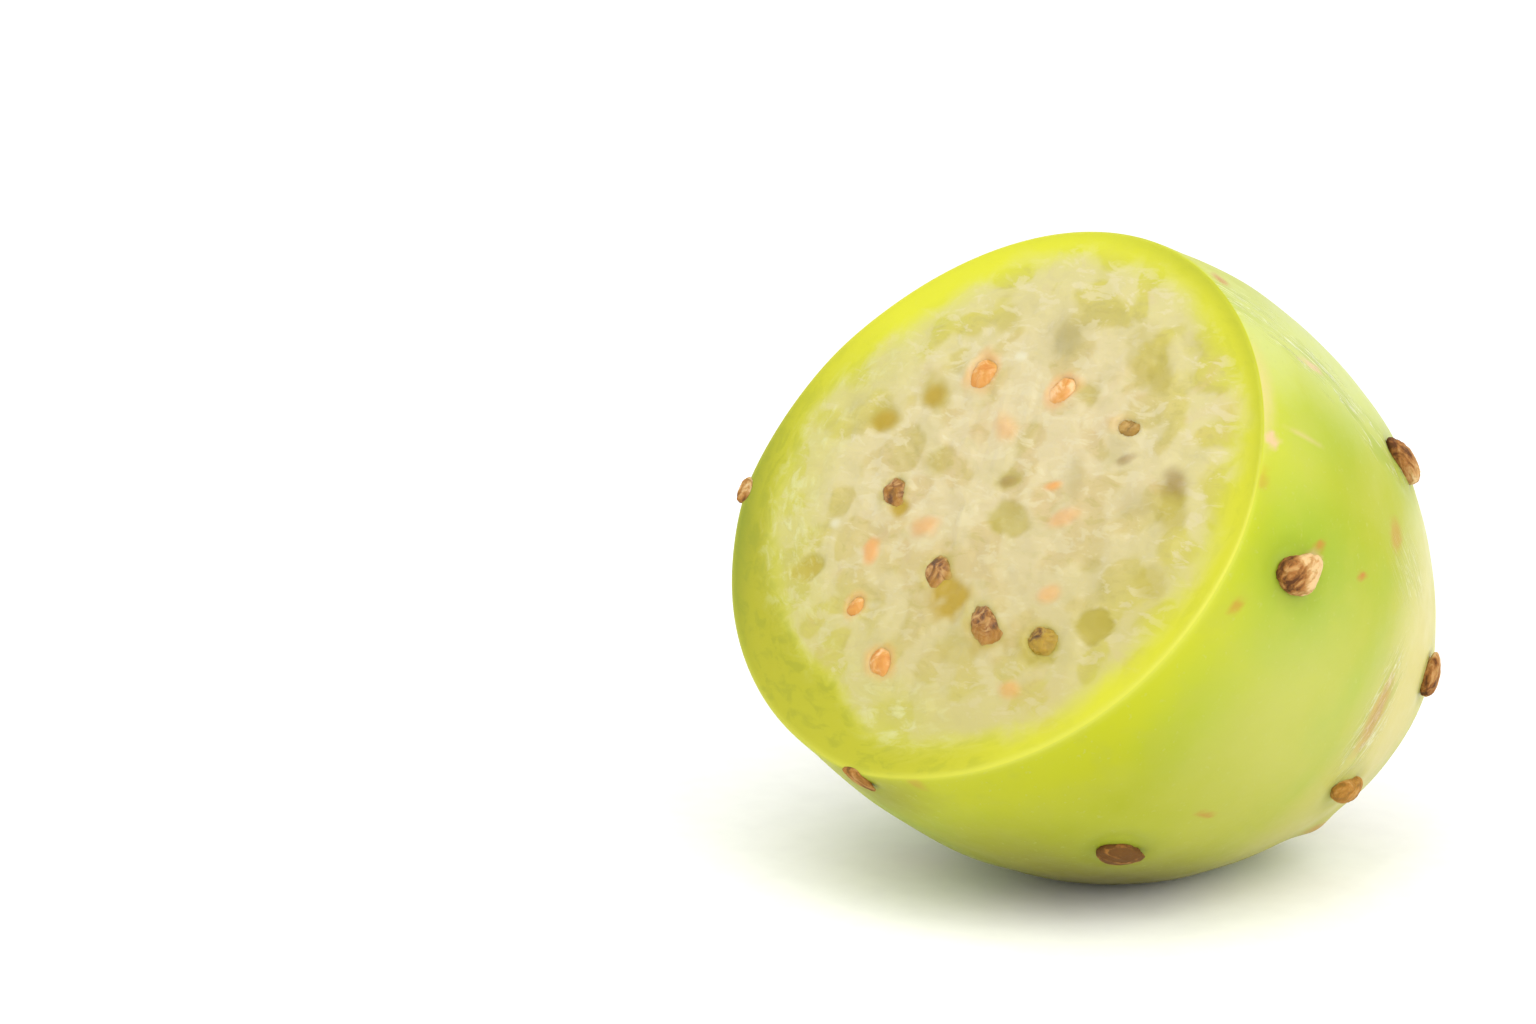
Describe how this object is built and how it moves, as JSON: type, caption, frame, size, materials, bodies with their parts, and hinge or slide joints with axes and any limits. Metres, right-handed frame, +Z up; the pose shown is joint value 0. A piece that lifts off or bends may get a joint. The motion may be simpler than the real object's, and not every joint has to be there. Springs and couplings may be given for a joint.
{
  "type": "prickly pear fruit half",
  "caption": "Crown half of a yellow-green prickly pear, cut across on a slant: waxy skin with woody areoles, dished crown, pale pulp with seeds. It lies on its side.",
  "frame": {"origin": "centre of the small flat spot that the half rests on", "axes": "+Z up, the cut face looks towards -Y and up, and the crown points towards +Y and down, a little to +X"},
  "size_m": [0.0611, 0.0629, 0.0587],
  "materials": {
    "fruit": "smooth waxy skin with a soft sheen"
  },
  "bodies": {
    "root": {"prickly_pear_half": "fruit"}
  },
  "joints": []
}
